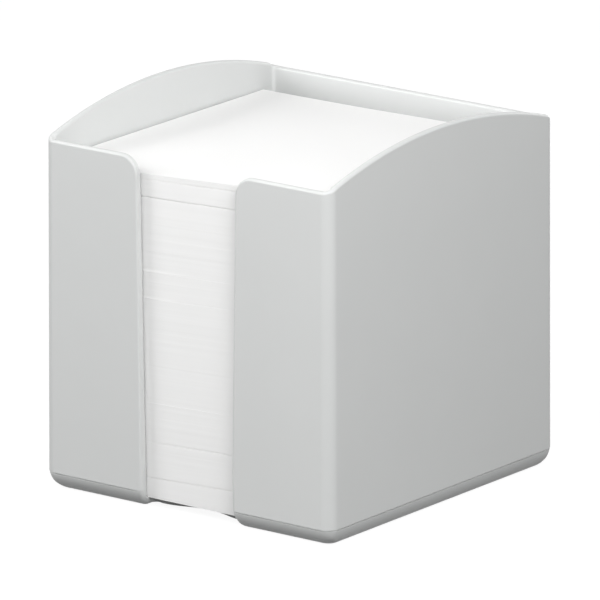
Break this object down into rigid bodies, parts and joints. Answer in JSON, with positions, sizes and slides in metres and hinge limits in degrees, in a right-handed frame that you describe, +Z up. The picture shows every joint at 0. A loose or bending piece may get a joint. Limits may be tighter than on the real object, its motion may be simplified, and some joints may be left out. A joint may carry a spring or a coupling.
{
  "type": "memo cube",
  "caption": "Open-topped moulded note box with arched side walls, a finger slot in its front wall and a stack of loose square notes inside.",
  "frame": {"origin": "middle of the box's underside, on the desk", "axes": "+Z up out of the open top, -Y towards the front wall with the finger slot, +X to the right seen from the front"},
  "size_m": [0.096, 0.101, 0.1049],
  "materials": {
    "box_plastic": "light grey injection-moulded plastic, fine satin texture",
    "note_paper": "white uncoated writing paper, cut edges"
  },
  "bodies": {
    "box": {"note_box": "box_plastic"},
    "bundle_1": {"note_bundle_1": "note_paper"},
    "bundle_2": {"note_bundle_2": "note_paper"},
    "bundle_3": {"note_bundle_3": "note_paper"},
    "bundle_4": {"note_bundle_4": "note_paper"},
    "bundle_5": {"note_bundle_5": "note_paper"},
    "bundle_6": {"note_bundle_6": "note_paper"},
    "bundle_7": {"note_bundle_7": "note_paper"},
    "bundle_8": {"note_bundle_8": "note_paper"},
    "note": {"top_note": "note_paper"}
  },
  "joints": [
    {"name": "bundle_1_lift", "type": "slide", "parent": "box", "child": "bundle_1", "axis": [0, 0, 1], "range_m": [0, 0.108]},
    {"name": "bundle_2_lift", "type": "slide", "parent": "bundle_1", "child": "bundle_2", "axis": [0, 0, 1], "range_m": [0, 0.101]},
    {"name": "bundle_3_lift", "type": "slide", "parent": "bundle_2", "child": "bundle_3", "axis": [0, 0, 1], "range_m": [0, 0.092]},
    {"name": "bundle_4_lift", "type": "slide", "parent": "bundle_3", "child": "bundle_4", "axis": [0, 0, 1], "range_m": [0, 0.081]},
    {"name": "bundle_5_lift", "type": "slide", "parent": "bundle_4", "child": "bundle_5", "axis": [0, 0, 1], "range_m": [0, 0.052]},
    {"name": "bundle_6_lift", "type": "slide", "parent": "bundle_5", "child": "bundle_6", "axis": [0, 0, 1], "range_m": [0, 0.044]},
    {"name": "bundle_7_lift", "type": "slide", "parent": "bundle_6", "child": "bundle_7", "axis": [0, 0, 1], "range_m": [0, 0.024]},
    {"name": "bundle_8_lift", "type": "slide", "parent": "bundle_7", "child": "bundle_8", "axis": [0, 0, 1], "range_m": [0, 0.019]},
    {"name": "top_note_lift", "type": "slide", "parent": "bundle_8", "child": "note", "axis": [0, 0, 1], "range_m": [0, 0.018]}
  ]
}
